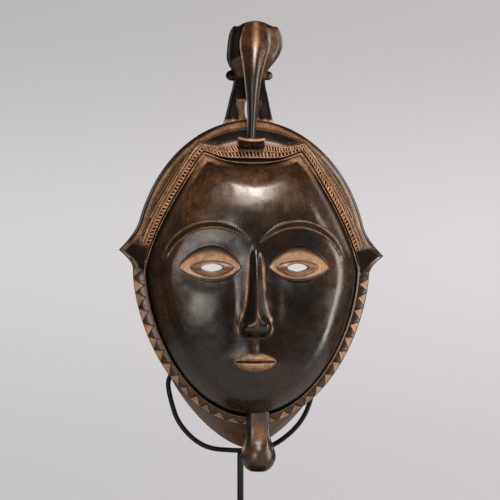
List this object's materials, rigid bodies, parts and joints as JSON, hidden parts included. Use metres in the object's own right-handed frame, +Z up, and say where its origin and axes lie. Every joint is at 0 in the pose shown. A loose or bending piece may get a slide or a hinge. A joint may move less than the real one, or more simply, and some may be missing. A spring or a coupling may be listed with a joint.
{
  "type": "carved wooden face mask on a display stand",
  "caption": "Hollow carved wooden face mask with pierced eyes, side points, chip-carved border, chin knob and long-billed bird crest, held up by a bent rod cradle on a post and flat base.",
  "frame": {"origin": "centre of the base plate's underside", "axes": "+Z up from the base to the crest; the mask faces -Y; +X is to the right of someone looking at the face"},
  "size_m": [0.209, 0.1344, 0.4463],
  "materials": {
    "carved_wood": "dark brown to black patina, satin, ochre bare wood in the cuts",
    "black_steel": "black, satin"
  },
  "bodies": {
    "root": {"mask": "carved_wood", "cradle_rod": "black_steel", "post": "black_steel", "base_plate": "black_steel"}
  },
  "joints": []
}
